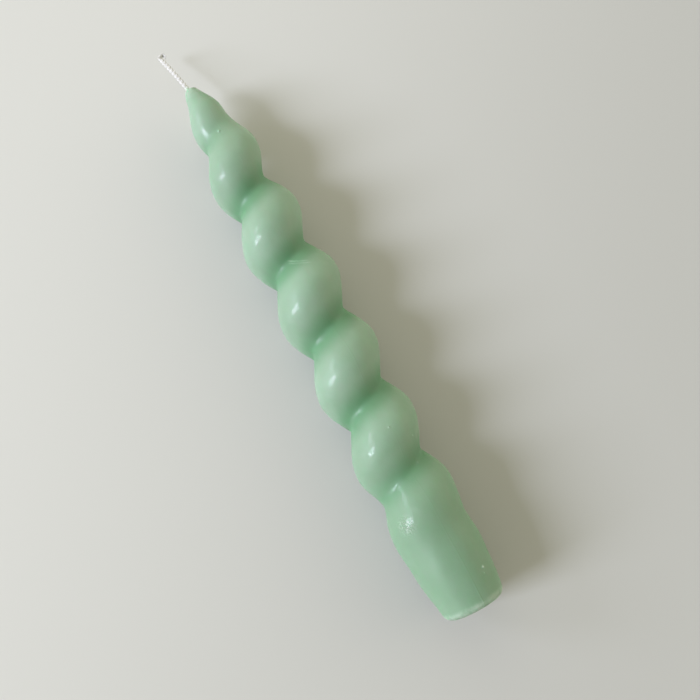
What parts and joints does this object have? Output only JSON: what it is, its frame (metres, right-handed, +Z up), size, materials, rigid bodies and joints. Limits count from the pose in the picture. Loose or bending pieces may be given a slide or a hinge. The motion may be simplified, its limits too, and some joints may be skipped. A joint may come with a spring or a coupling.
{
  "type": "spiral taper candle",
  "caption": "Slender unlit taper candle in pale green wax with a right-hand spiral ridge, a plain round base end and a white cotton wick, lying on its side.",
  "frame": {"origin": "on the surface that the candle lies on, below the middle of its length and width", "axes": "+X along the candle, level, towards its base end; the wick end points towards -X; +Z up from the surface that it lies on"},
  "size_m": [0.2202, 0.028, 0.0272],
  "materials": {
    "wax": "satin, slightly translucent pale sage-green candle wax",
    "wick_cotton": "matt white braided cotton"
  },
  "bodies": {
    "root": {"wax_body": "wax", "wick": "wick_cotton"}
  },
  "joints": []
}
